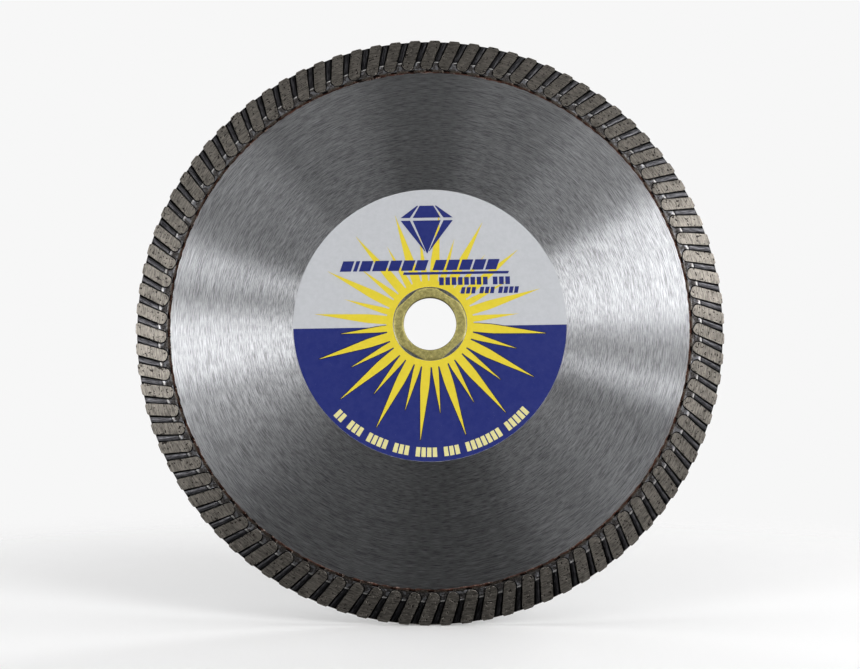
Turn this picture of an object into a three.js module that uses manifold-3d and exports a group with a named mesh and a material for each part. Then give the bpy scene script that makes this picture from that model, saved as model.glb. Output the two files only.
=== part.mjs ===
// A continuous turbo-rim diamond blade for cutting masonry and concrete, 7 in (178 mm) across.
//
// Millimetres. The blade stands upright, as it runs on a machine's spindle: its axis is the
// Y axis, the label faces -Y and +Z is up. The origin is the centre of the bore, halfway
// through the steel core.
//
// Each piece is drawn in "blade space", where x is right, y is up and z points out of the
// label side. The last lines turn the whole group so that blade z becomes -Y.
import * as THREE from "three";
import { mergeVertices } from "three/addons/utils/BufferGeometryUtils.js";
import Module from "manifold-3d";

const wasm = await Module();
wasm.setup();

const INCH = 25.4;
const FULL_TURN = 2 * Math.PI;
const radians = THREE.MathUtils.degToRad;

// Driving dimensions
const BLADE_RADIUS = (7 * INCH) / 2;
const CORE_THICKNESS = 1.5;
const RIM_THICKNESS = 2.3; // over the pads of both faces
const RIM_INNER_RADIUS = 78.66; // where the core's bare steel ends

// The arbor: a diamond-shaped hole, rounded off by a circle, and the bush that fills it
const BORE_RADIUS = (5 / 8) * (INCH / 2);
const HOLE_RADIUS = 11.15;
const HOLE_FLAT = (13 / 16) * (INCH / 2); // from the axis to each of the four flats
const DIAMOND_AXIS = radians(94.8); // the direction midway between two flats' normals
const DIAMOND_HALF_ANGLE = radians(36.9); // from that direction to either normal
const BUSH_RADIUS = 11.05;
const BUSH_FLAT = 10.12;
const BUSH_THICKNESS = 1.4;
const BUSH_CHAMFER = 0.2;

const LABEL_RADIUS = 41.4;
const LABEL_HOLE_RADIUS = 11.2;
const LABEL_THICKNESS = 0.12;
const GLUE_GAP = 0.02; // the adhesive under the label

// Each face of the rim carries oblique pads with slots between them. A slot's floor climbs a
// ramp at its inner end, up to the pockets between the pads' round ends.
const PAD_COUNT = 90;
const PAD_SLANT = radians(21.2); // a pad leans clockwise as it goes out, seen from the front
const PAD_MID_RADIUS = 84.25;
const PAD_INNER_RADIUS = 79.6;
const PAD_WIDTH = 3.5;
const PAD_END_STEPS = 4; // facets round a pad's inner end
const WEB_THICKNESS = 1.2; // between the slots of the two faces
const WEB_RADIUS = 88.6;
const POCKET_THICKNESS = 1.9; // between the pockets of the two faces
const RAMP_RADIUS = 81.75; // where the pockets end and the ramp starts down
const RAMP_WIDTH = 0.45;

// The rim grips the core inside a groove. Dovetail teeth on the core's edge sit in the bond
// ring, a layer of bonding metal that fills the rest of the groove.
const BOND_RADIUS = 81.4;
const BOND_GAP = 0.03; // between pieces that are bonded face to face
const TOOTH_COUNT = 36;
const TOOTH_ROOT_RADIUS = 79.3;
const TOOTH_TIP_RADIUS = 80.9;
const TOOTH_ROOT_WIDTH = 6.0;
const TOOTH_TIP_WIDTH = 7.4;

const RIM_FACETS = PAD_COUNT;
const HUB_FACETS = 48;
const LABEL_FACETS = 90;

// ---- shapes --------------------------------------------------------------------------------

const polar = (radius, angle) =>
  new THREE.Vector2(radius * Math.cos(angle), radius * Math.sin(angle));

// A circle's corners start at the bottom, as a turned solid's do.
const circle = (radius, facets) =>
  Array.from({ length: facets }, (_, i) => polar(radius, (i / facets - 1 / 4) * FULL_TURN));

function toSolid(geometry) {
  const bare = new THREE.BufferGeometry();
  bare.setAttribute("position", geometry.getAttribute("position"));
  bare.setIndex(geometry.index);
  const merged = mergeVertices(bare, 1e-4);
  return new wasm.Manifold(
    new wasm.Mesh({
      numProp: 3,
      vertProperties: new Float32Array(merged.attributes.position.array),
      triVerts: new Uint32Array(merged.index.array),
    }),
  );
}

function toGeometry(solid) {
  const mesh = solid.getMesh();
  const geometry = new THREE.BufferGeometry();
  geometry.setAttribute("position", new THREE.BufferAttribute(mesh.vertProperties, 3));
  geometry.setIndex(new THREE.BufferAttribute(mesh.triVerts, 1));
  return geometry;
}

// A flat plate of that outline, between two heights.
function plate(outline, bottom, top) {
  const shape = new THREE.Shape(outline);
  const geometry = new THREE.ExtrudeGeometry(shape, { depth: top - bottom, bevelEnabled: false });
  return toSolid(geometry.translate(0, 0, bottom));
}

// A solid turned about the blade's axis. Its section is a loop of [radius, z], which runs
// outwards along the bottom and inwards along the top.
function turned(section, facets) {
  const loop = [...section, section[0]].map(([radius, z]) => new THREE.Vector2(radius, z));
  return toSolid(new THREE.LatheGeometry(loop, facets).rotateX(Math.PI / 2));
}

const ring = (inner, outer, bottom, top, facets) =>
  turned([[inner, bottom], [outer, bottom], [outer, top], [inner, top]], facets);

const disk = (radius, bottom, top, facets) => plate(circle(radius, facets), bottom, top);

// ---- the hub: the diamond hole's shape, the bush and the label ------------------------------

// A four-sided prism with the diamond hole's angles, as thick as anything it cuts.
function diamondPrism(flat) {
  const narrow = flat / Math.cos(DIAMOND_HALF_ANGLE);
  const wide = flat / Math.sin(DIAMOND_HALF_ANGLE);
  const corners = [narrow, wide, narrow, wide].map((reach, i) =>
    polar(reach, DIAMOND_AXIS + (i * Math.PI) / 2),
  );
  return plate(corners, -RIM_THICKNESS, RIM_THICKNESS);
}

function knockoutBush() {
  const half = BUSH_THICKNESS / 2;
  const body = turned(
    [
      [BORE_RADIUS, BUSH_CHAMFER - half],
      [BORE_RADIUS + BUSH_CHAMFER, -half],
      [BUSH_RADIUS - BUSH_CHAMFER, -half],
      [BUSH_RADIUS, BUSH_CHAMFER - half],
      [BUSH_RADIUS, half - BUSH_CHAMFER],
      [BUSH_RADIUS - BUSH_CHAMFER, half],
      [BORE_RADIUS + BUSH_CHAMFER, half],
      [BORE_RADIUS, half - BUSH_CHAMFER],
    ],
    HUB_FACETS,
  );
  return body.intersect(diamondPrism(BUSH_FLAT));
}

function frontLabel() {
  const bottom = CORE_THICKNESS / 2 + GLUE_GAP;
  return ring(LABEL_HOLE_RADIUS, LABEL_RADIUS, bottom, bottom + LABEL_THICKNESS, LABEL_FACETS);
}

// ---- the core and the bond ring --------------------------------------------------------------

// The core's toothed edge, moved outwards all round by grow.
function toothedEdge(grow) {
  const root = TOOTH_ROOT_RADIUS + grow;
  const tip = TOOTH_TIP_RADIUS + grow;
  const rootHalf = (TOOTH_ROOT_WIDTH / 2 + grow) / root;
  const tipHalf = (TOOTH_TIP_WIDTH / 2 + grow) / tip;
  return Array.from({ length: TOOTH_COUNT }, (_, i) => {
    const middle = (i * FULL_TURN) / TOOTH_COUNT;
    return [
      polar(root, middle - rootHalf),
      polar(tip, middle - tipHalf),
      polar(tip, middle + tipHalf),
      polar(root, middle + rootHalf),
    ];
  }).flat();
}

function steelCore() {
  const half = CORE_THICKNESS / 2;
  const disc = plate(toothedEdge(0), -half, half);
  const hole = disk(HOLE_RADIUS, -CORE_THICKNESS, CORE_THICKNESS, HUB_FACETS);
  return disc.subtract(hole.intersect(diamondPrism(HOLE_FLAT)));
}

function bondRing() {
  const half = CORE_THICKNESS / 2;
  const teeth = plate(toothedEdge(BOND_GAP), -CORE_THICKNESS, CORE_THICKNESS);
  return disk(BOND_RADIUS, -half, half, RIM_FACETS).subtract(teeth);
}

// ---- the diamond rim -------------------------------------------------------------------------

// The outline of the pad whose middle lies straight above the axis.
function padOutline() {
  const along = new THREE.Vector2(Math.sin(PAD_SLANT), Math.cos(PAD_SLANT));
  const across = new THREE.Vector2(along.y, -along.x);
  const middle = new THREE.Vector2(0, PAD_MID_RADIUS);
  const at = (u, v) => middle.clone().addScaledVector(along, u).addScaledVector(across, v);
  // How far along the pad the line at v meets a circle about the axis.
  const reach = (radius, v) => {
    const start = at(0, v);
    const b = start.dot(along);
    return Math.sqrt(b * b - start.lengthSq() + radius * radius) - b;
  };
  const half = PAD_WIDTH / 2;
  const centre = reach(PAD_INNER_RADIUS + half, 0);
  const innerEnd = Array.from({ length: PAD_END_STEPS + 1 }, (_, i) => {
    const angle = (i * Math.PI) / PAD_END_STEPS;
    return at(centre - half * Math.sin(angle), half * Math.cos(angle));
  });
  return [...innerEnd, at(reach(BLADE_RADIUS, -half), -half), at(reach(BLADE_RADIUS, half), half)];
}

// The pads of both faces. The back's are the front's, mirrored in the core's middle plane and
// moved half a pitch round, so that behind each slot there is a pad.
function pads() {
  const frontPad = plate(padOutline(), WEB_THICKNESS / 2, RIM_THICKNESS / 2);
  const backPad = frontPad.mirror([0, 0, 1]);
  const pitch = 360 / PAD_COUNT;
  const steps = Array.from({ length: PAD_COUNT }, (_, i) => i);
  const front = steps.map((i) => frontPad.rotate([0, 0, i * pitch]));
  const back = steps.map((i) => backPad.rotate([0, 0, (i + 0.5) * pitch]));
  return [...front, ...back];
}

function diamondRim() {
  const pocket = POCKET_THICKNESS / 2;
  const web = WEB_THICKNESS / 2;
  const body = turned(
    [
      [RIM_INNER_RADIUS, -pocket],
      [RAMP_RADIUS, -pocket],
      [RAMP_RADIUS + RAMP_WIDTH, -web],
      [WEB_RADIUS, -web],
      [WEB_RADIUS, web],
      [RAMP_RADIUS + RAMP_WIDTH, web],
      [RAMP_RADIUS, pocket],
      [RIM_INNER_RADIUS, pocket],
    ],
    RIM_FACETS,
  );
  const groove = CORE_THICKNESS / 2 + BOND_GAP;
  return wasm.Manifold.union([body, ...pads()])
    .subtract(disk(BOND_RADIUS + BOND_GAP, -groove, groove, RIM_FACETS));
}

// ---- assembly ----------------------------------------------------------------------------------

const finishes = {
  steel: { color: 0x8c8e90, roughness: 0.3, metalness: 1.0 },
  bond: { color: 0x6e5a4c, roughness: 0.6, metalness: 0.9 },
  sintered: { color: 0x7c756b, roughness: 0.55, metalness: 0.8 },
  brass: { color: 0xa8985a, roughness: 0.4, metalness: 1.0 },
  print: { color: 0xc9cbcf, roughness: 0.45, metalness: 0.0 },
};

function piece(name, solid, finish) {
  const mesh = new THREE.Mesh(toGeometry(solid), new THREE.MeshStandardMaterial(finishes[finish]));
  mesh.name = name;
  return mesh;
}

const blade = new THREE.Group();
blade.add(
  piece("steel_core", steelCore(), "steel"),
  piece("bond_ring", bondRing(), "bond"),
  piece("diamond_rim", diamondRim(), "sintered"),
  piece("knockout_bush", knockoutBush(), "brass"),
  piece("front_label", frontLabel(), "print"),
);
blade.rotation.x = Math.PI / 2;

export default blade;
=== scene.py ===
"""The looks of a turbo-rim diamond blade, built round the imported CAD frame.

Lengths are in metres. Angles about the axis run anticlockwise from the right as the label is
seen, unless a name says clock: those run clockwise from the top, in degrees.
"""

import math

import bmesh
import bpy
import numpy as np
from mathutils import Matrix, Vector


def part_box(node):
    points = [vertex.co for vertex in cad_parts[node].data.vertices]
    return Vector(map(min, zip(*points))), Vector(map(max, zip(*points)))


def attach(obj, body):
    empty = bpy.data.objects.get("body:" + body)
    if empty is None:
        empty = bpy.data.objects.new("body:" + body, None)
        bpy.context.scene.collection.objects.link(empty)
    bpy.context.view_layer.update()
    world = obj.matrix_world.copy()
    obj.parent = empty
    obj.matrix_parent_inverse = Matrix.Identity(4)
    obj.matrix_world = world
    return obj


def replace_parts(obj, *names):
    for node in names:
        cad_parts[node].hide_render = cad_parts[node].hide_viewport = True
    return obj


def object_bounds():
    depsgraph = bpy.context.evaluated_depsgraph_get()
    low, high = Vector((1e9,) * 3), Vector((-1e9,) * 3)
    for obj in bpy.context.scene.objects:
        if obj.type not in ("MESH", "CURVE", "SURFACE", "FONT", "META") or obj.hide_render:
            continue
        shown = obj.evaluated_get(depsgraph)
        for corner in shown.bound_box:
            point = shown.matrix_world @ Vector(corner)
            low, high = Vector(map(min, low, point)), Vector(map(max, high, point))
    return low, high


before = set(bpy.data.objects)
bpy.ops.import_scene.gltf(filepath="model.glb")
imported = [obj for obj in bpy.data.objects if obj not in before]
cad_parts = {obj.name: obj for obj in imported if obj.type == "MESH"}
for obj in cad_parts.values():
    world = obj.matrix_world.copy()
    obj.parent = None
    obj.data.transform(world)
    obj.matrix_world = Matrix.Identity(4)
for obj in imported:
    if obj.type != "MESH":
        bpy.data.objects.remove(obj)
cad_low, cad_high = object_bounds()

MM = 0.001
FULL_TURN = 2 * math.pi
rng = np.random.default_rng(58)


# ---- sizes -------------------------------------------------------------------------------------

def size_of(node):
    low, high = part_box(node)
    return high - low


BLADE_RADIUS = size_of("diamond_rim").x / 2
RIM_HALF = size_of("diamond_rim").y / 2
CORE_HALF = size_of("steel_core").y / 2
BOND_RADIUS = size_of("bond_ring").x / 2
BUSH_RADIUS = max(size_of("knockout_bush").x, size_of("knockout_bush").z) / 2
BUSH_HALF = size_of("knockout_bush").y / 2
LABEL_RADIUS = size_of("front_label").x / 2
LABEL_FRONT = -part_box("front_label")[0].y

# Sizes of the design that no box gives
PAD_COUNT = 90
PAD_PITCH = FULL_TURN / PAD_COUNT
PAD_SLANT = math.radians(21.2)
PAD_MID_RADIUS = 84.25 * MM
PAD_INNER_RADIUS = 79.6 * MM
PAD_WIDTH = 3.5 * MM
WEB_HALF = 0.6 * MM
WEB_RADIUS = 88.6 * MM
POCKET_HALF = 0.95 * MM
RAMP_RADIUS = 81.75 * MM
RAMP_WIDTH = 0.45 * MM
RIM_INNER_RADIUS = 78.66 * MM
BORE_RADIUS = 5 / 8 * 25.4 / 2 * MM
BUSH_FLAT = 10.24 * MM
DIAMOND_AXIS = math.radians(94.8)
DIAMOND_HALF_ANGLE = math.radians(36.9)
LABEL_HOLE_RADIUS = 11.2 * MM


# ---- mesh helpers ------------------------------------------------------------------------------

def to_world(radius, angle, height):
    """Points given by radius, angle and height towards the label side, as world points."""
    return np.stack([radius * np.cos(angle), -height, radius * np.sin(angle)], axis=-1)


def face_outwards(mesh):
    """Turns a closed mesh's faces the same way, out of the material."""
    shell = bmesh.new()
    shell.from_mesh(mesh)
    bmesh.ops.recalc_face_normals(shell, faces=shell.faces)
    if shell.calc_volume(signed=True) < 0:
        bmesh.ops.reverse_faces(shell, faces=shell.faces)
    shell.to_mesh(mesh)
    shell.free()


def add_piece(name, points, faces, material, body, sharp_degrees):
    """A closed mesh from points and faces, riding on a CAD body."""
    mesh = bpy.data.meshes.new(name)
    mesh.from_pydata(np.asarray(points).reshape(-1, 3).tolist(), [], faces)
    face_outwards(mesh)
    mesh.shade_smooth()
    mesh.set_sharp_from_angle(angle=math.radians(sharp_degrees))
    mesh.materials.append(material)
    piece = bpy.data.objects.new(name, mesh)
    bpy.context.scene.collection.objects.link(piece)
    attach(piece, body)
    return piece


def paint(node, material):
    """Gives a carried-over CAD node its material."""
    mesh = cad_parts[node].data
    mesh.materials.clear()
    mesh.materials.append(material)


def add_attribute(piece, name, kind, field, values):
    """Stores a value for each of a piece's points, for its material to read."""
    piece.data.attributes.new(name, kind, "POINT").data.foreach_set(field, values.ravel())


def tube_faces(rows, columns):
    """Quads over a grid of points that closes both ways."""
    faces = []
    for row in range(rows):
        here, above = row * columns, (row + 1) % rows * columns
        for column in range(columns):
            after = (column + 1) % columns
            faces.append((here + column, here + after, above + after, above + column))
    return faces


def smooth_step(value, low, high):
    """A share that eases from 0 at low to 1 at high."""
    share = np.clip((value - low) / (high - low), 0, 1)
    return share * share * (3 - 2 * share)


# ---- material helpers --------------------------------------------------------------------------

class Nodes:
    """Short calls that add nodes to one new material."""

    def __init__(self, name):
        self.material = bpy.data.materials.new(name)
        self.material.use_nodes = True
        self.tree = self.material.node_tree
        self.shader = self.tree.nodes["Principled BSDF"]

    def add(self, kind, **settings):
        node = self.tree.nodes.new(kind)
        for key, value in settings.items():
            setattr(node, key, value)
        return node

    def put(self, value, target):
        """Sets an input to a number or colour, or links it to an output."""
        if isinstance(value, bpy.types.NodeSocket):
            self.tree.links.new(value, target)
        elif isinstance(value, tuple) and target.type == "RGBA":
            target.default_value = (*value, 1)
        else:
            target.default_value = value

    def fill(self, node, *values):
        """Puts values into a node's first inputs, and gives its first output."""
        for value, target in zip(values, node.inputs):
            self.put(value, target)
        return node.outputs[0]

    def math(self, operation, *values):
        return self.fill(self.add("ShaderNodeMath", operation=operation), *values)

    def vector_math(self, operation, *values):
        return self.fill(self.add("ShaderNodeVectorMath", operation=operation), *values)

    def scaled(self, vector, factor):
        node = self.add("ShaderNodeVectorMath", operation="SCALE")
        self.put(vector, node.inputs[0])
        self.put(factor, node.inputs["Scale"])
        return node.outputs[0]

    def combine(self, x, y, z):
        return self.fill(self.add("ShaderNodeCombineXYZ"), x, y, z)

    def split(self, vector):
        node = self.add("ShaderNodeSeparateXYZ")
        self.put(vector, node.inputs[0])
        return node.outputs

    def position(self):
        """The object's own coordinates in millimetres."""
        return self.scaled(self.add("ShaderNodeTexCoord").outputs["Object"], 1 / MM)

    def length(self, a, b):
        """The long side of a right triangle with the sides a and b."""
        squares = [self.math("MULTIPLY", side, side) for side in (a, b)]
        return self.math("SQRT", self.math("ADD", *squares))

    def radius(self, place):
        """The distance from the blade's axis."""
        x, _, z = self.split(place)
        return self.length(x, z)

    def turned(self, place, across, along):
        """Coordinates for marks that run round the axis: across is per mm, and along per radian."""
        x, _, z = self.split(place)
        radius = self.radius(place)
        return self.combine(
            self.math("MULTIPLY", radius, across),
            self.math("MULTIPLY", self.math("DIVIDE", x, radius), along),
            self.math("MULTIPLY", self.math("DIVIDE", z, radius), along),
        )

    def noise(self, vector, scale=1.0, detail=3.0, roughness=0.55):
        node = self.add("ShaderNodeTexNoise")
        self.put(vector, node.inputs["Vector"])
        node.inputs["Scale"].default_value = scale
        node.inputs["Detail"].default_value = detail
        node.inputs["Roughness"].default_value = roughness
        return node.outputs["Fac"]

    def ramp(self, value, low, high, start=0.0, end=1.0, kind="SMOOTHSTEP"):
        """Takes value from low..high to start..end."""
        node = self.add("ShaderNodeMapRange", interpolation_type=kind)
        return self.fill(node, value, low, high, start, end)

    def mix(self, share, a, b, blend="MIX"):
        node = self.add("ShaderNodeMix", data_type="RGBA", blend_type=blend)
        for value, number in ((share, 0), (a, 6), (b, 7)):
            self.put(value, node.inputs[number])
        return node.outputs[2]

    def blend(self, share, a, b):
        """A number between a and b."""
        node = self.add("ShaderNodeMix", data_type="FLOAT")
        for value, number in ((share, 0), (a, 2), (b, 3)):
            self.put(value, node.inputs[number])
        return node.outputs[0]

    def times(self, colour, factor):
        """A colour made lighter or darker."""
        grey = self.fill(self.add("ShaderNodeCombineColor"), factor, factor, factor)
        return self.mix(1.0, colour, grey, blend="MULTIPLY")

    def bump(self, height, distance, strength, below=None):
        node = self.add("ShaderNodeBump")
        self.put(height, node.inputs["Height"])
        node.inputs["Distance"].default_value = distance
        node.inputs["Strength"].default_value = strength
        if below is not None:
            self.put(below, node.inputs["Normal"])
        return node.outputs[0]

    def swaying_tangent(self, place, sway, amount):
        """The direction along turned grooves, which wander by amount to either side."""
        x, _, z = self.split(place)
        along = self.combine(self.math("MULTIPLY", z, -1.0), 0.0, x)
        outward = self.combine(x, 0.0, z)
        drift = self.scaled(outward, self.ramp(sway, 0.2, 0.8, -amount, amount, kind="LINEAR"))
        return self.vector_math("NORMALIZE", self.vector_math("ADD", along, drift))

    def set(self, **values):
        """Sets inputs of the material's shader, with _ for a space."""
        for name, value in values.items():
            self.put(value, self.shader.inputs[name.replace("_", " ")])


# ---- materials ---------------------------------------------------------------------------------

# Near black used for painted shade: the feet of the pads' walls, the slots' sides and the base ring's
# recesses.
PAINTED_SHADE_BLACK = (0.004, 0.004, 0.004)
RAMP_START = RAMP_RADIUS / MM
RAMP_END = (RAMP_RADIUS + RAMP_WIDTH) / MM
SLOT_FALL_OUTWARD = 0.2
SLOT_FALL_ACROSS = 0.09


def brushed_steel():
    """Steel brushed round and round, so that light runs across the grooves in fans."""
    n = Nodes("brushed_steel")
    place = n.position()
    fine = n.noise(n.turned(place, across=5.2, along=19), roughness=0.7)
    sway = n.noise(n.turned(place, across=5.0, along=9), roughness=0.6)
    rings = n.noise(n.turned(place, across=1.1, along=1.5), detail=4)
    specks = n.ramp(n.noise(place, scale=2.6, detail=1), 0.73, 0.8, 0.0, 0.3)
    tone = n.math("ADD", n.ramp(fine, 0.25, 0.75, 0.18, 0.59), n.ramp(rings, 0.3, 0.7, -0.025, 0.025))
    colour = n.times((0.955, 0.968, 1.0), tone)
    n.set(
        Base_Color=n.mix(specks, colour, (0.85, 0.86, 0.88)),
        Metallic=1.0,
        Roughness=n.ramp(fine, 0.3, 0.7, 0.3, 0.36),
        Anisotropic=1.0,
        Anisotropic_Rotation=0.25,
        Tangent=n.swaying_tangent(place, sway, 0.027),
        Normal=n.bump(fine, distance=0.003 * MM, strength=0.5),
    )
    return n.material


def ground_metal(n, place, blotches):
    """The colour, scratches and pits of sintered metal that is ground flat."""
    scratches = n.noise(n.turned(place, across=3.2, along=32), roughness=0.75)
    pits = n.ramp(n.noise(n.turned(place, across=1.6, along=110), detail=0.6), 0.64, 0.68)
    light = n.ramp(scratches, 0.3, 0.7, 0.47, 1.53)
    tone = n.math("ADD", light, n.ramp(blotches, 0.3, 0.7, -0.12, 0.12))
    colour = n.times((0.222, 0.204, 0.18), tone)
    return n.mix(n.math("MULTIPLY", pits, 0.9), colour, (0.018, 0.014, 0.013)), scratches, pits


def slot_floor(n, radius):
    """The colour of the slots' floors, with painted shade along their sides, and the height in mm
    that tilts them.
    """
    slot_place = n.add("ShaderNodeAttribute", attribute_name="slot_space").outputs["Vector"]
    across, along, number = n.split(slot_place)
    off_middle = n.math("ABSOLUTE", n.math("ADD", across, 0.1))
    lines = n.noise(n.combine(
        n.math("MULTIPLY", across, 5.0),
        n.math("MULTIPLY", along, 0.5),
        n.math("MULTIPLY", number, 7.3),
    ), roughness=0.6)
    colour = n.mix(n.ramp(lines, 0.3, 0.7), (0.006, 0.006, 0.007), (0.062, 0.061, 0.065))
    # Painted shade: the floor turns near black towards the slot's sides, next to the pads' walls.
    colour = n.mix(n.ramp(off_middle, 0.42, 0.72), colour, PAINTED_SHADE_BLACK)
    from_ramp = n.math("MAXIMUM", n.math("SUBTRACT", radius, RAMP_END), 0.0)
    outward = n.math("MULTIPLY", from_ramp, -SLOT_FALL_OUTWARD)
    fall = n.math("SUBTRACT", outward, n.math("MULTIPLY", across, SLOT_FALL_ACROSS))
    past_ramp = n.ramp(radius, RAMP_END, RAMP_END + 0.3)
    inside = n.math("MULTIPLY", n.ramp(off_middle, 0.8, 1.0, 1.0, 0.0), past_ramp)
    return colour, n.math("MULTIPLY", fall, inside)


def pocket_floor(n, place, radius, grain):
    """The colour of the pockets at the slots' inner ends, with pale patches of painted highlight, and
    a pale band of painted highlight on the ramps beside them.
    """
    colour = n.mix(n.ramp(grain, 0.3, 0.7), (0.022, 0.02, 0.02), (0.15, 0.14, 0.136))
    # Painted highlight: pale bluish patches scattered over the pocket floors.
    painted_glint_patches = n.ramp(n.noise(place, scale=0.8, detail=2), 0.5, 0.6, 0.0, 0.45)
    colour = n.mix(painted_glint_patches, colour, (0.36, 0.37, 0.4))
    # Painted highlight: a pale band on the ramps where the slots begin.
    return n.mix(n.ramp(radius, RAMP_START - 0.05, RAMP_START + 0.05), colour, (0.58, 0.57, 0.56))


def base_ring(n, height, grain):
    """The colour of the narrow ring next to the core: raised dashes with painted shade in the
    recesses between them.
    """
    dashes = n.mix(n.ramp(grain, 0.3, 0.7), (0.028, 0.023, 0.02), (0.135, 0.118, 0.1))
    # Painted shade: the lower recesses between the dashes are near black.
    return n.mix(n.ramp(height, RECESS_HALF / MM + 0.02, DASH_HALF / MM - 0.03), PAINTED_SHADE_BLACK, dashes)


def sintered_rim():
    """Sintered bond metal: raw and dark in the slots, and ground to a pitted tan grey on top. Its
    colour paints shade in the crevices, along the slots' sides and in the base ring's recesses, and
    paints highlights in the pockets and on the ramps.
    """
    n = Nodes("sintered_rim")
    place = n.position()
    radius = n.radius(place)
    height = n.math("ABSOLUTE", n.split(place)[1])
    grain = n.noise(place, scale=3.0, detail=5, roughness=0.65)
    blotches = n.noise(place, scale=0.55)
    sway = n.noise(n.turned(place, across=3.2, along=24), roughness=0.6)
    ground_colour, scratches, pits = ground_metal(n, place, blotches)
    slot_colour, slot_tilt = slot_floor(n, radius)

    dash_outer, inner = DASH_OUTER / MM, RIM_INNER_RADIUS / MM
    in_slot = n.ramp(radius, RAMP_END - 0.1, RAMP_END + 0.1)
    in_base = n.ramp(radius, dash_outer + 0.1, dash_outer)
    raw_colour = n.mix(in_slot, pocket_floor(n, place, radius, grain), slot_colour)
    raw_colour = n.mix(in_base, raw_colour, base_ring(n, height, grain))
    # Painted shade: near black at the feet of the pads' walls, set by the crevice depth.
    crevice = n.add("ShaderNodeAttribute", attribute_name="crevice").outputs["Fac"]
    raw_colour = n.mix(n.ramp(crevice, 0.25, 0.75), raw_colour, PAINTED_SHADE_BLACK)
    near_core = n.ramp(radius, inner + 0.64, inner + 0.24)
    rust = n.math("MULTIPLY", near_core, n.ramp(blotches, 0.4, 0.6, 0.1, 0.9))
    raw_colour = n.mix(rust, raw_colour, (0.05, 0.022, 0.015))
    raw_roughness = n.math("ADD", n.ramp(grain, 0.3, 0.7, 0.28, 0.4), n.math("MULTIPLY", rust, 0.25))

    top, edge = RIM_HALF / MM, WEB_RADIUS / MM
    on_top = n.ramp(height, top - 0.1, top - 0.05)
    ground = n.math("MAXIMUM", on_top, n.ramp(radius, edge - 0.06, edge - 0.02))
    normal = n.bump(n.math("MULTIPLY", slot_tilt, n.math("SUBTRACT", 1.0, ground)), MM, 1.0)
    normal = n.bump(pits, -0.05 * MM, 0.6, below=normal)
    n.set(
        Base_Color=n.mix(ground, raw_colour, ground_colour),
        Metallic=n.blend(ground, 1.0, 0.955),
        Roughness=n.blend(ground, raw_roughness, n.ramp(scratches, 0.3, 0.7, 0.36, 0.44)),
        Anisotropic=n.math("MULTIPLY", ground, 0.9),
        Anisotropic_Rotation=0.25,
        Tangent=n.swaying_tangent(place, sway, 0.1),
        Normal=n.bump(grain, 0.02 * MM, 0.4, below=normal),
    )
    return n.material


def bonding_metal():
    """Copper-brown bonding metal, squeezed out, with random dark blotches, darker to the left by
    painted shade, and pale specks of painted highlight.
    """
    n = Nodes("bonding_metal")
    place = n.position()
    x = n.split(place)[0]
    blotches = n.noise(place, scale=0.15, detail=5, roughness=0.65)
    grain = n.noise(place, scale=5.0, detail=4)
    # Random dark blotches, plus painted shade that darkens the left side.
    blackening_and_side_shade = n.math("ADD", blotches, n.ramp(x, -75, 75, -0.12, 0.06, kind="LINEAR"))
    colour = n.mix(n.ramp(blackening_and_side_shade, 0.35, 0.6), (0.007, 0.005, 0.005), (0.13, 0.055, 0.038))
    # Painted highlight: pale specks scattered over the metal.
    specks = n.ramp(n.noise(place, scale=1.6, detail=2), 0.55, 0.65, 0.0, 0.8)
    n.set(
        Base_Color=n.mix(specks, colour, (0.36, 0.27, 0.23)),
        Metallic=0.8,
        Roughness=n.ramp(grain, 0.3, 0.7, 0.35, 0.6),
        Normal=n.bump(grain, 0.02 * MM, 0.6),
    )
    return n.material


def dull_brass():
    """Tumbled brass with fine scratches that cross each other, darkened round the bore by painted
    shade.
    """
    n = Nodes("dull_brass")
    place = n.position()
    mottle = n.noise(place, scale=1.1, detail=5, roughness=0.6)
    x, y, z = n.split(place)
    rising, falling = n.math("ADD", x, z), n.math("SUBTRACT", x, z)
    hatches = [
        n.noise(n.combine(n.math("MULTIPLY", a, 7.0), n.math("MULTIPLY", b, 0.8), y))
        for a, b in ((rising, falling), (falling, rising))
    ]
    scratches = n.math("ADD", *hatches)
    stains = n.ramp(n.noise(place, scale=3.0, detail=2), 0.64, 0.74, 0.0, 0.5)
    colour = n.mix(n.ramp(mottle, 0.3, 0.7), (0.425, 0.372, 0.128), (0.66, 0.595, 0.235))
    colour = n.times(colour, n.ramp(scratches, 0.8, 1.2, 0.84, 1.16))
    bore = BORE_RADIUS / MM
    # Painted shade: the brass darkens round the bore, over the countersink.
    bore_edge_shade = n.ramp(n.radius(place), bore + 0.12, bore + 0.26, 0.85, 0.0)
    n.set(
        Base_Color=n.mix(bore_edge_shade, n.mix(stains, colour, (0.14, 0.12, 0.06)), (0.06, 0.045, 0.022)),
        Metallic=0.9,
        Roughness=n.ramp(scratches, 0.8, 1.2, 0.34, 0.52),
        Normal=n.bump(scratches, 0.006 * MM, 0.5, below=n.bump(mottle, 0.02 * MM, 0.3)),
    )
    return n.material


def printed(name, colour):
    """Printed, laminated paper: a faint mottling, a little dust and a satin skin."""
    n = Nodes(name)
    place = n.position()
    mottle = n.noise(place, scale=0.7, detail=5, roughness=0.7)
    dust = n.ramp(n.noise(place, scale=4.2, detail=1), 0.74, 0.8, 0.0, 0.1)
    worn = tuple(channel * 1.06 + 0.004 for channel in colour)
    n.set(
        Base_Color=n.mix(dust, n.mix(n.ramp(mottle, 0.3, 0.7), colour, worn), (0.7, 0.7, 0.7)),
        Roughness=n.ramp(mottle, 0.3, 0.7, 0.33, 0.42),
        Specular_IOR_Level=0.3,
        Normal=n.bump(mottle, 0.003 * MM, 0.2),
    )
    return n.material


# ---- the rim -----------------------------------------------------------------------------------

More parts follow.
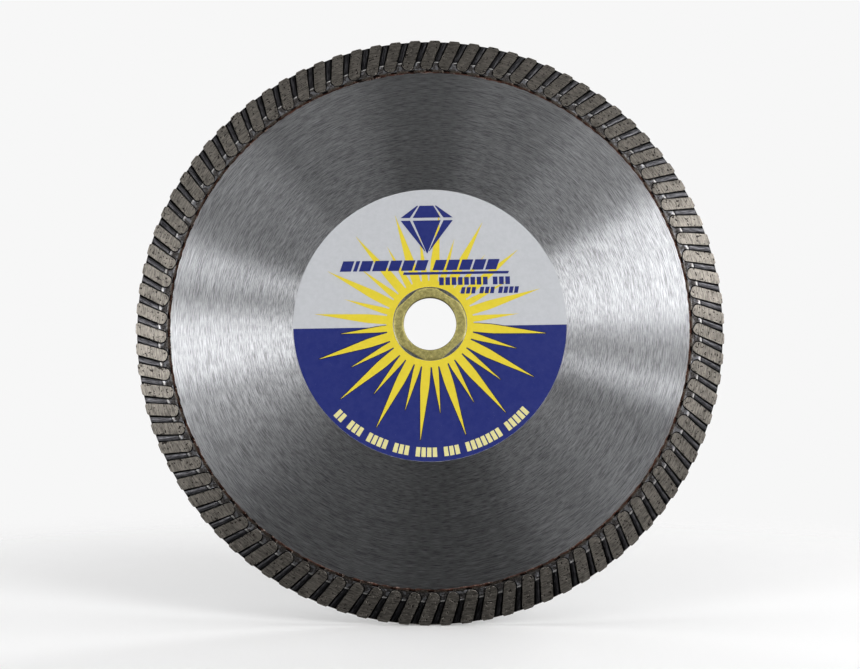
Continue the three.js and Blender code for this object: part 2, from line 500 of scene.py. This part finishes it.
OUTER_RADIUS = BLADE_RADIUS - 0.02 * MM
PAD_BEVEL = 0.08 * MM
PAD_END_RADIUS = 1.45 * MM
LEADING_CORNER = 0.9 * MM
TRAILING_CORNER = 0.3 * MM
WALL_DRAFT = 0.12 * MM
FLOOR_FILLET = 0.3 * MM
FLOOR_SHARES = (0.4, 0.8)
STRIP_RISE = 0.06 * MM
FLOOR_FALL = 0.1 * MM
DASH_OFFSET = math.radians(1.63)
DASH_HALF_ANGLE = math.radians(1.4)
DASH_OUTER = 79.4 * MM
DASH_FADE = 0.1 * MM
DASH_HALF = 0.98 * MM
RECESS_HALF = 0.84 * MM
TIP_HALF = 0.25 * MM
SQUEEZE_RADIUS = 88.0 * MM
GROOVE_HALF = CORE_HALF + 0.015 * MM
GROOVE_RADIUS = BOND_RADIUS + 0.03 * MM
PAD_SCATTER = 0.02 * MM
POCKET_GRAIN = 0.012 * MM
SLOT_GRAIN = 0.006 * MM
PAD_ALONG = np.array([math.sin(PAD_SLANT), math.cos(PAD_SLANT)])
PAD_ACROSS = np.array([math.cos(PAD_SLANT), -math.sin(PAD_SLANT)])
PAD_MIDDLE = np.array([0, PAD_MID_RADIUS])


def pad_reach(radius, v):
    """How far along the pad the line at v across it meets a circle about the axis."""
    start = PAD_MIDDLE + v * PAD_ACROSS
    b = start @ PAD_ALONG
    return math.sqrt(b * b - start @ start + radius * radius) - b


def corner_arc(u, v, radius, start, end, steps):
    """Points round a corner, from one angle in degrees to another."""
    angles = np.radians(np.linspace(start, end, steps))
    return np.stack([u + radius * np.cos(angles), v + radius * np.sin(angles)], axis=1)


def pad_flanks(radii, inset):
    """The angles of a pad's leading and trailing flanks at each radius, and its lowest radius.

    The angles are from the pad's middle direction. The leading flank is the clockwise one. The
    outline is moved in by inset.
    """
    half = PAD_WIDTH / 2 - inset
    end_radius = PAD_END_RADIUS - inset
    inner_u = pad_reach(PAD_INNER_RADIUS + PAD_WIDTH / 2, 0) - PAD_WIDTH / 2 + inset + end_radius
    inner_end = corner_arc(inner_u, half - end_radius, end_radius, 180, 90, 24)
    flanks = []
    for side, corner, setback in ((1, LEADING_CORNER, 1.3), (-1, TRAILING_CORNER, 1.0)):
        corner -= inset
        outer_u = pad_reach(OUTER_RADIUS - inset, side * half) - setback * corner
        straight = np.stack([np.linspace(inner_u, outer_u, 60), np.full(60, half)], axis=1)
        outer_end = corner_arc(outer_u, half - corner, corner, 90, 0, 12)
        u, v = np.concatenate([inner_end, straight, outer_end]).T
        x, y = PAD_MIDDLE[:, None] + u * PAD_ALONG[:, None] + side * v * PAD_ACROSS[:, None]
        flanks.append((np.hypot(x, y), np.arctan2(y, x) - math.pi / 2))
    (lead_radius, lead_angle), (trail_radius, trail_angle) = flanks
    distance = np.concatenate([trail_radius[::-1], lead_radius])
    angle = np.concatenate([trail_angle[::-1], lead_angle])
    lowest = int(np.argmin(distance))
    lead = np.interp(radii, distance[lowest:], angle[lowest:])
    trail = np.interp(radii, distance[lowest::-1], angle[lowest::-1])
    return lead, trail, distance[lowest]


def rim_radii(lowest):
    """The radii of the rim's rows, close together where its shape changes."""
    return np.concatenate([
        np.linspace(RIM_INNER_RADIUS + PAD_BEVEL, DASH_OUTER, 4),
        [DASH_OUTER + DASH_FADE],
        lowest + PAD_END_RADIUS * 0.8 * (1 - np.cos(np.linspace(0, math.pi / 2, 8))),
        [RAMP_RADIUS - 0.5 * MM],
        RAMP_RADIUS + RAMP_WIDTH * np.linspace(0, 1, 3),
        np.linspace(83, 87.6, 5) * MM,
        np.linspace(SQUEEZE_RADIUS, WEB_RADIUS, 3),
        OUTER_RADIUS - PAD_BEVEL * np.array([1, 0.4, 0]),
    ])


def slot_space(radius, angle, middle_column):
    """Places across and along the nearest slot; the frame changes in the middle of each pad."""
    leading = np.arange(angle.shape[1]) < middle_column
    local = angle + np.where(leading, PAD_PITCH, -PAD_PITCH)[None] / 2 + math.pi / 2
    offset = np.stack([radius * np.cos(local), radius * np.sin(local)], axis=-1) - PAD_MIDDLE
    return offset @ PAD_ACROSS, offset @ PAD_ALONG, np.where(leading, 0, 1)


def floor_height(radius, from_dash, across):
    """The height between the pads: the base ring's dashes, the pockets, the ramp and the slots."""
    ramp = np.clip((radius - RAMP_RADIUS) / RAMP_WIDTH, 0, 1)
    strip = STRIP_RISE * (1 - smooth_step(np.abs(across), 0.3 * MM, 0.55 * MM))
    fall = FLOOR_FALL * np.clip((radius - RAMP_RADIUS) / (WEB_RADIUS - RAMP_RADIUS), 0, 1)
    height = POCKET_HALF + (WEB_HALF + strip - fall - POCKET_HALF) * ramp
    turn = np.abs(np.mod(from_dash + PAD_PITCH / 2, PAD_PITCH) - PAD_PITCH / 2)
    dash = 1 - smooth_step(turn, DASH_HALF_ANGLE - math.radians(0.12), DASH_HALF_ANGLE)
    base = RECESS_HALF + (DASH_HALF - RECESS_HALF) * dash
    inside = 1 - smooth_step(radius, DASH_OUTER, DASH_OUTER + DASH_FADE)
    return height * (1 - inside) + base * inside


def crevices(rows, columns, foot_row, wall_first, wall_last):
    """How deep in a corner each point lies, from 0 to 1: the foot of a pad's wall is 1. The rim's
    material paints shade by it.
    """
    depth = np.zeros((rows, columns))
    for step, value in ((2, 0.4), (1, 1.0), (0, 0.5)):
        depth[foot_row:, [wall_first - step, wall_last - 1 + step]] = value
    depth[foot_row, wall_first:wall_last] = 1.0
    return depth


def pad_edges(radii, lowest):
    """The angles of a pad's four long edges at each radius, and of its inner end.

    Rows further in than the pad keep the four edges as a narrow strip. below marks those rows.
    """
    lead, trail, _ = pad_flanks(radii, 0)
    lead_in, trail_in, lowest_in = pad_flanks(radii, PAD_BEVEL)
    centre = (lead + trail) / 2
    narrow = radii < lowest_in + 0.01 * MM
    lead_in = np.where(narrow, (centre + lead) / 2, lead_in)
    trail_in = np.where(narrow, (centre + trail) / 2, trail_in)
    below = radii < lowest + 0.001 * MM
    end_angle = centre[below][-1]
    tip = TIP_HALF / radii
    edges = [
        np.where(below, end_angle + share * tip, edge)
        for edge, share in ((lead, -1), (lead_in, -0.5), (trail_in, 0.5), (trail, 1))
    ]
    return edges, below, end_angle


def part_way(start, end, shares):
    return [start + (end - start) * share for share in shares]


def sector_columns(radii, edges):
    """The angles of one sector's columns, from the middle of a slot to the middle of the next.

    Also gives the pad's first column, its middle column and the one after its last.
    """
    lead, lead_in, trail_in, trail = edges
    foot = WALL_DRAFT / radii
    fillet = (WALL_DRAFT + FLOOR_FILLET) / radii
    middle = (lead + trail) / 2 - PAD_PITCH / 2
    next_middle = middle + PAD_PITCH
    before = [middle, *part_way(middle, lead - fillet, FLOOR_SHARES), lead - fillet, lead - foot]
    pad = [lead, lead_in, *part_way(lead_in, trail_in, (0.25, 0.5, 0.75)), trail_in, trail]
    after = [trail + foot, trail + fillet, *part_way(next_middle, trail + fillet, FLOOR_SHARES[::-1])]
    first, end = len(before), len(before) + len(pad)
    return np.stack(before + pad + after, axis=1), first, (first + end) // 2, end


def unevenness(radius, on_pad):
    """Each pad's random shift round the axis, and the floors' random grain."""
    shift = rng.normal(0, PAD_SCATTER, (PAD_COUNT, 1, 1)) * on_pad / radius
    grain = np.where(radius < RAMP_RADIUS - 0.3 * MM, POCKET_GRAIN, SLOT_GRAIN)
    on_ramp = np.abs(radius - RAMP_RADIUS - RAMP_WIDTH / 2) < 0.4 * MM
    grain = np.where(on_ramp, 0, grain)
    return shift, rng.normal(0, 1, (PAD_COUNT, *radius.shape)) * grain * ~on_pad


def rim_side(turn):
    """One face of the rim, by sector, row and column: radius, angle, height and place.

    Place holds three values of slot space and how deep in a crevice the point lies.
    """
    lowest = pad_flanks(np.array([PAD_MID_RADIUS]), 0)[2]
    radii = rim_radii(lowest)
    edges, below, end_angle = pad_edges(radii, lowest)
    angle, first, middle, end = sector_columns(radii, edges)
    rows, count = angle.shape
    radius = np.repeat(radii[:, None], count, axis=1)

    on_pad = np.zeros((rows, count), bool)
    on_pad[~below, first:end] = True
    across, along, next_slot = slot_space(radius, angle, middle)
    height = floor_height(radius, angle - end_angle - DASH_OFFSET, across)
    from_end = np.minimum(radius - lowest, OUTER_RADIUS - radius)
    drop = PAD_BEVEL * (1 - np.clip(from_end / PAD_BEVEL, 0, 1)) ** 2
    drop[:, [first, end - 1]] = PAD_BEVEL
    height = np.where(on_pad, RIM_HALF - drop, height)
    squeezed = np.interp(radius, [SQUEEZE_RADIUS, OUTER_RADIUS], [SQUEEZE_RADIUS, WEB_RADIUS])
    radius = np.where(on_pad | (radius < SQUEEZE_RADIUS), radius, squeezed)

    sector = np.arange(PAD_COUNT)[:, None, None]
    shift, uneven = unevenness(radius, on_pad)
    depth = crevices(rows, count, int(below.sum()) - 1, first, end)
    place = np.broadcast_arrays(across / MM, along / MM, sector + next_slot, depth)
    return (
        np.broadcast_to(radius, uneven.shape),
        angle + sector * PAD_PITCH + turn + math.pi / 2 + shift,
        height + uneven,
        np.stack(place, axis=-1),
    )


def all_round(values):
    """(sectors, rows, columns, ...) to (rows, columns all round, ...)."""
    swapped = np.moveaxis(values, 0, 1)
    return swapped.reshape(swapped.shape[0], -1, *swapped.shape[3:])


def build_rim(material):
    """The whole rim as one closed mesh: the front's rows, the back's, and the edges between."""
    sheets, places = [], []
    for side, turn in ((1, 0.0), (-1, PAD_PITCH / 2)):
        radius, angle, height, place = (all_round(values) for values in rim_side(turn))
        level = np.ones((1, radius.shape[1]))
        lip = [GROOVE_RADIUS * level, RIM_INNER_RADIUS * level]
        radius = np.concatenate([*lip, radius, radius[-1:], WEB_RADIUS * level])
        angle = np.concatenate([angle[:1], angle[:1], angle, angle[-1:], angle[-1:]])
        lip = [GROOVE_HALF * level] * 2
        height = np.concatenate([*lip, height, WEB_HALF * 0.7 * level, WEB_HALF / 2 * level])
        sheets.append(to_world(radius, angle, side * height))
        places.append(np.concatenate([place[:1], place[:1], place, place[-1:], place[-1:]]))
    front, back = sheets
    columns = front.shape[1]
    half_sector = columns // PAD_COUNT // 2
    back, back_place = (np.roll(values, half_sector, axis=1) for values in (back, places[1]))
    first = math.atan2(front[-1, 0, 2], front[-1, 0, 0])
    even = first + np.arange(columns) * FULL_TURN / columns
    outer_middle, inner_middle = (
        to_world(radius, even, np.zeros(columns))[None] for radius in (WEB_RADIUS, GROOVE_RADIUS)
    )
    points = np.concatenate([inner_middle, front, outer_middle, back[::-1]])
    place = np.concatenate([places[0][:1], places[0], back_place[:1], back_place[::-1]])
    faces = tube_faces(len(points), columns)
    rim = add_piece("turbo_rim", points, faces, material, "blade", 38)
    place = place.reshape(-1, 4).astype(np.float32)
    add_attribute(rim, "slot_space", "FLOAT_VECTOR", "vector", place[:, :3])
    add_attribute(rim, "crevice", "FLOAT", "value", place[:, 3])
    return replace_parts(rim, "diamond_rim")


def ripple(angle, size, waves=24):
    """A smooth random line that closes round the blade."""
    phases = rng.uniform(0, FULL_TURN, waves)
    amounts = rng.normal(0, size / math.sqrt(waves), waves)
    turns = rng.integers(3, 160, waves)
    return sum(a * np.sin(t * angle + p) for a, t, p in zip(amounts, turns, phases))


def build_bead(name, side, material):
    """The thin, uneven line of bonding metal squeezed out between the core and the rim."""
    steps = 900
    angle = np.arange(steps) * FULL_TURN / steps
    feather = 78.5 * MM + ripple(angle, 0.08 * MM)
    crest = 78.68 * MM + ripple(angle, 0.03 * MM)
    inside = 78.95 * MM
    base = CORE_HALF + 0.002 * MM
    top = 0.82 * MM + ripple(angle, 0.01 * MM)
    loops = [
        (feather, base),
        ((feather + crest) / 2, (base + top) / 2 + 0.01 * MM),
        (crest, top),
        (inside, top),
        (inside, base),
    ]
    points = [to_world(radius, angle, side * height * np.ones(steps)) for radius, height in loops]
    return add_piece(name, points, tube_faces(len(loops), steps), material, "blade", 60)


# ---- the bush ----------------------------------------------------------------------------------

def bush_outline(angle):
    """The bush's outer radius: a circle with four flats."""
    radius = np.full_like(angle, BUSH_RADIUS)
    for turn in (-DIAMOND_HALF_ANGLE, DIAMOND_HALF_ANGLE):
        across = np.maximum(np.abs(np.cos(angle - DIAMOND_AXIS - turn)), 0.5)
        radius = np.minimum(radius, BUSH_FLAT / across)
    return radius


def build_bush(material):
    """A ring with four flats, its edges softly broken and its bore countersunk."""
    steps = 720
    angle = np.arange(steps) * FULL_TURN / steps
    outer = bush_outline(angle)
    edge = 0.07 * MM
    sink = 0.2 * MM
    profile = [(outer, edge), (outer - 0.3 * edge, 0.3 * edge), (outer - edge, 0)]
    profile += [(outer + (BORE_RADIUS - outer) * share, 0) for share in (0.25, 0.5, 0.75)]
    profile += [(BORE_RADIUS + sink, 0), (BORE_RADIUS + sink / 3, sink / 3), (BORE_RADIUS, sink)]
    loops = [(radius, depth - BUSH_HALF) for radius, depth in profile[::-1]]
    loops += [(radius, BUSH_HALF - depth) for radius, depth in profile]
    ones = np.ones(steps)
    points = [to_world(radius * ones, angle, height * ones) for radius, height in loops]
    faces = tube_faces(len(loops), steps)
    bush = add_piece("reducing_bush", points, faces, material, "bush", 30)
    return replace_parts(bush, "knockout_bush")


# ---- the label's print -------------------------------------------------------------------------

LABEL_TILT = math.radians(0.93)
HORIZON = -0.9 * MM
INK = 0.01 * MM
INK_GAP = 0.002 * MM
INK_EDGE = 0.03 * MM
RAY_COUNT = 32
RAY_RING = 13.2 * MM
RAY_OUTLINE = 0.22 * MM


def ink_piece(name, strips, layer, material, closed=False):
    """Strips printed as a thin solid film on the label; a higher layer lies on the ones below.

    A strip is a list of rows, and each row is two points across it, in the label's x and y. A
    closed strip's last row joins its first.
    """
    bottom = LABEL_FRONT + INK_GAP + layer * (INK + INK_GAP)
    cosine, sine = math.cos(LABEL_TILT), math.sin(LABEL_TILT)
    points, faces = [], []
    for rows in strips:
        start = len(points)
        for x, y in np.asarray(rows).reshape(-1, 2):
            for height in (bottom, bottom + INK):
                points.append((cosine * x - sine * y, -height, sine * x + cosine * y))
        end = len(points) - 4
        for a in range(start, end + 4 * closed, 4):
            b = a + 4 if a < end else start
            faces += [(a, b, b + 2, a + 2), (a + 1, a + 3, b + 3, b + 1)]
            faces += [(a, a + 1, b + 1, b), (a + 2, b + 2, b + 3, a + 3)]
        if not closed:
            faces += [(start, start + 2, start + 3, start + 1), (end, end + 1, end + 3, end + 2)]
    return add_piece(name, points, faces, material, "blade", 20)


def between(inner, outer, angles):
    """Rows that join two radii at each angle."""
    inner, outer = (np.broadcast_to(radius, angles.shape) for radius in (inner, outer))
    direction = np.stack([np.cos(angles), np.sin(angles)], axis=1)
    return np.stack([inner[:, None] * direction, outer[:, None] * direction], axis=1)


def navy_field():
    """The lower part of the label, below the horizon."""
    inner, outer = LABEL_HOLE_RADIUS + INK_EDGE, LABEL_RADIUS - INK_EDGE
    sides = []
    for radius in (inner, outer):
        turn = math.asin(HORIZON / radius)
        angles = np.linspace(turn, -math.pi - turn, 241)
        sides.append(radius * np.stack([np.cos(angles), np.sin(angles)], axis=1))
    return [np.stack(sides, axis=1)]


def burst(rays, grow):
    """The given rays round the bush: straight and pointed, long and short in turn.

    Where two rays meet, each keeps to its own share of the turn.
    """
    angles, reaches = [], []
    for i in rays:
        long = i % 2
        reach = (35.0 if long else 27.0) * MM
        half_width = (1.35 if long else 0.95) * MM
        shoulder = 0.55 * reach
        radii = np.linspace(RAY_RING, reach, 14)
        taper = np.clip((reach - radii) / (reach - shoulder), 0.02, 1)
        spread = np.arctan2(half_width * taper + grow, radii)
        widest = FULL_TURN / RAY_COUNT / 2 * (1.12 if long else 0.87)
        spread = (spread ** -8 + widest ** -8) ** (-1 / 8)
        middle = (i + 0.5) * FULL_TURN / RAY_COUNT
        angles += [middle - spread, (middle + spread)[::-1]]
        reaches += [radii + grow, (radii + grow)[::-1]]
    return [between(LABEL_HOLE_RADIUS + INK_EDGE, np.concatenate(reaches), np.concatenate(angles))]


def slanted_bar(x, y, width, height, slant):
    """A bar that leans to the right, with its lower left corner at x, y."""
    lean = height * slant
    return [[(x, y), (x + width, y)], [(x + lean, y + height), (x + lean + width, y + height)]]


def bar_row(x, y, height, gap, slant, widths):
    """Bars side by side, in mm; a negative width leaves a space."""
    shapes = []
    for width in widths:
        if width > 0:
            shapes.append(slanted_bar(x * MM, y * MM, width * MM, height * MM, slant))
        x += abs(width) + gap
    return shapes


def title_bars():
    """Plain bars where the name and details of a blade are printed."""
    title = [3.4, 1.2, 3.4, 4.2, 3.4, 3.4, 3.4, -1.0, 3.4, 3.4, 3.4, 3.4, 3.4]
    shapes = bar_row(-27.2, 16.3, 3.2, 0.6, 0.35, title)
    shapes.append(slanted_bar(-8.0 * MM, 15.0 * MM, 32.0 * MM, 0.8 * MM, 0.35))
    shapes += bar_row(3.0, 11.7, 2.4, 0.5, 0.0, [1.4] * 8 + [-0.6] + [1.4] * 3)
    shapes += bar_row(9.4, 9.0, 2.0, 0.4, 0.2, [1.2] * 3 + [-0.5] + [1.2] * 3 + [-0.5] + [1.2] * 4)
    return shapes


def emblem():
    """A plain cut gem, seen from the side."""
    x, y = -0.5 * MM, 29.6 * MM
    wide, table, top = 8.0 * MM, 4.7 * MM, 2.1 * MM
    girdle, crown, point = 2.6 * MM, 6.8 * MM, -8.0 * MM
    line = 0.42 * MM

    def facet(*corners):
        a, b, c, d = ((x + dx, y + dy) for dx, dy in corners)
        return [[a, b], [c, d]]

    upper, lower = girdle + line, girdle - line
    shapes = [
        facet((line - table, upper), (table - line, upper), (-top, crown), (top, crown)),
        facet((line - table, lower), (table - line, lower), (-0.1 * MM, point), (0.1 * MM, point)),
    ]
    near_point = point + 0.6 * MM
    for side in (-1, 1):
        inner, outer = side * (table + line), side * wide
        crown_edge = (side * (top + line), crown), (side * (top + 2 * line), crown)
        point_edge = (side * 0.5 * MM, near_point), (side * 0.7 * MM, near_point)
        shapes.append(facet((inner, upper), (outer, upper), *crown_edge))
        shapes.append(facet((inner, lower), (outer, lower), *point_edge))
    return shapes


def edge_dashes():
    """Short dashes round the label's lower edge, in groups."""
    groups = (2, 3, 4, 3, 4, 3, 7, 5)
    step = math.radians(2.5)
    angle = -math.pi / 2 - (sum(groups) + len(groups) - 1) * step / 2
    shapes = []
    for group in groups:
        for _ in range(group):
            shapes.append(between(37.2 * MM, 40.0 * MM, angle + step * np.linspace(0.12, 0.88, 4)))
            angle += step
        angle += step
    return shapes


def build_label():
    """The label's CAD ring keeps its shape, and the print lies on it."""
    navy = printed("navy_ink", (0.011, 0.018, 0.125))
    outline = printed("outline_ink", (0.012, 0.012, 0.05))
    yellow = printed("yellow_ink", (0.57, 0.46, 0.03))
    cream = printed("cream_ink", (0.56, 0.52, 0.24))
    lower_rays = range(RAY_COUNT // 2, RAY_COUNT)
    ink_piece("print_navy_field", navy_field(), 0, navy)
    ink_piece("print_burst_line", burst(lower_rays, RAY_OUTLINE), 1, outline)
    ink_piece("print_burst", burst(range(RAY_COUNT), 0), 2, yellow, closed=True)
    ink_piece("print_title_bars", title_bars(), 3, navy)
    ink_piece("print_emblem", emblem(), 3, navy)
    ink_piece("print_edge_dashes", edge_dashes(), 1, cream)
    paint("front_label", printed("grey_stock", (0.41, 0.42, 0.44)))


# ---- stage -------------------------------------------------------------------------------------

CAMERA_DISTANCE = 0.28
CAMERA_TILT = math.radians(6.5)
CAMERA_AIM = -3.2 * MM
SENSOR_WIDTH = 36
FOCAL_LENGTH = 38.64
FLOOR_HALF = 1.2
FLOOR_ALBEDO = 0.91
FLOOR_FADE = (90, 420)
BACKGROUND = 0.93
STUDIO_GLOW = 0.055
SOFTBOX_DISTANCE = 0.9
KEY_LEAN = 48
BACK_SHARE = 0.6

# For each light: clock direction, lean from the blade's axis, arc round that axis and depth away
# from it, all in degrees, and power in watts.
SOFTBOXES = {
    "right_key": (68.3, KEY_LEAN, 28, 20, 4.4),
    "right_shelf": (88, KEY_LEAN, 10, 20, 0.3),
    "right_strip": (97.5, KEY_LEAN, 6, 20, 0.8),
    "right_low": (118, KEY_LEAN, 24, 20, 0.6),
    "right_high": (44, KEY_LEAN, 26, 20, 0.66),
    "right_top": (21, KEY_LEAN, 24, 20, 0.24),
    "right_bottom": (140, KEY_LEAN, 18, 20, 0.26),
    "left_key": (272, KEY_LEAN, 17, 20, 2.4),
    "left_shelf": (283, KEY_LEAN, 10, 20, 0.3),
    "left_strip": (292.5, KEY_LEAN, 6, 20, 0.8),
    "left_high": (310.5, KEY_LEAN, 24, 20, 0.5),
    "left_top": (337, KEY_LEAN, 20, 20, 0.2),
    "left_low": (246, KEY_LEAN, 26, 20, 0.45),
    "front_high": (0, 36, 100, 20, 0.52),
    "overhead": (0, 86, 100, 14, 3.4),
    "underneath": (180, 86, 100, 14, 2.2),
}


def build_floor():
    """A pale floor under the blade that melts into the background further out."""
    square = (-1, -1), (1, -1), (1, 1), (-1, 1)
    corners = [(x * FLOOR_HALF, y * FLOOR_HALF, cad_low.z) for x, y in square]
    mesh = bpy.data.meshes.new("floor")
    mesh.from_pydata(corners, [], [(0, 1, 2, 3)])
    floor = bpy.data.objects.new("floor", mesh)
    bpy.context.scene.collection.objects.link(floor)
    n = Nodes("floor")
    x, y, _ = n.split(n.position())
    shown = n.ramp(n.length(x, y), *FLOOR_FADE, 1.0, 0.0)
    n.set(Base_Color=(FLOOR_ALBEDO,) * 3, Roughness=0.9, Alpha=shown)
    mesh.materials.append(n.material)
    floor.visible_glossy = False
    floor.visible_shadow = False


def build_world():
    """The camera sees an even pale background, and the blade reflects a dim studio."""
    world = bpy.data.worlds.new("studio")
    bpy.context.scene.world = world
    world.use_nodes = True
    tree = world.node_tree
    tree.nodes.clear()
    output = tree.nodes.new("ShaderNodeOutputWorld")
    choice = tree.nodes.new("ShaderNodeMixShader")
    rays = tree.nodes.new("ShaderNodeLightPath")
    tree.links.new(rays.outputs["Is Camera Ray"], choice.inputs["Fac"])
    for number, strength in ((1, STUDIO_GLOW), (2, BACKGROUND)):
        background = tree.nodes.new("ShaderNodeBackground")
        background.inputs["Color"].default_value = (strength, strength, strength, 1)
        tree.links.new(background.outputs[0], choice.inputs[number])
    tree.links.new(choice.outputs[0], output.inputs["Surface"])


def add_softbox(name, side, clock, lean, arc, depth, power):
    """A rectangular light that faces the blade's middle. side is -1 in front and 1 behind."""
    clock, lean, arc, depth = (math.radians(angle) for angle in (clock, lean, arc, depth))
    right, up = math.sin(clock), math.cos(clock)
    away = Vector((math.sin(lean) * right, side * math.cos(lean), math.sin(lean) * up))
    across = Vector((up, 0, -right))
    data = bpy.data.lights.new(name, "AREA")
    data.shape = "RECTANGLE"
    data.size = 2 * SOFTBOX_DISTANCE * math.sin(lean) * math.tan(arc / 2)
    data.size_y = 2 * SOFTBOX_DISTANCE * math.tan(depth / 2)
    data.energy = power
    light = bpy.data.objects.new(name, data)
    turn = Matrix((across, away.cross(across), away)).transposed().to_4x4()
    light.matrix_world = Matrix.Translation(away * SOFTBOX_DISTANCE) @ turn
    light.visible_camera = False
    bpy.context.scene.collection.objects.link(light)


def build_camera():
    """Just below the blade's middle, looking slightly up at the label."""
    data = bpy.data.cameras.new("camera")
    data.sensor_width = SENSOR_WIDTH
    data.lens = FOCAL_LENGTH
    data.clip_start = 0.01
    camera = bpy.data.objects.new("camera", data)
    back, down = CAMERA_DISTANCE * math.cos(CAMERA_TILT), CAMERA_DISTANCE * math.sin(CAMERA_TILT)
    camera.location = (0, -back, -down)
    camera.rotation_mode = "QUATERNION"
    aim = Vector((0, 0, CAMERA_AIM))
    camera.rotation_quaternion = (aim - camera.location).to_track_quat("-Z", "Y")
    bpy.context.scene.collection.objects.link(camera)
    bpy.context.scene.camera = camera


# ---- assembly ----------------------------------------------------------------------------------

build_camera()
bond = bonding_metal()
build_rim(sintered_rim())
build_bead("bond_bead_front", 1, bond)
build_bead("bond_bead_back", -1, bond)
build_bush(dull_brass())
build_label()
paint("steel_core", brushed_steel())
paint("bond_ring", bond)
build_floor()
build_world()
for name, (*place, power) in SOFTBOXES.items():
    add_softbox(name + "_front", -1, *place, power)
    add_softbox(name + "_back", 1, *place, power * BACK_SHARE)
bpy.context.scene.view_settings.view_transform = "Standard"
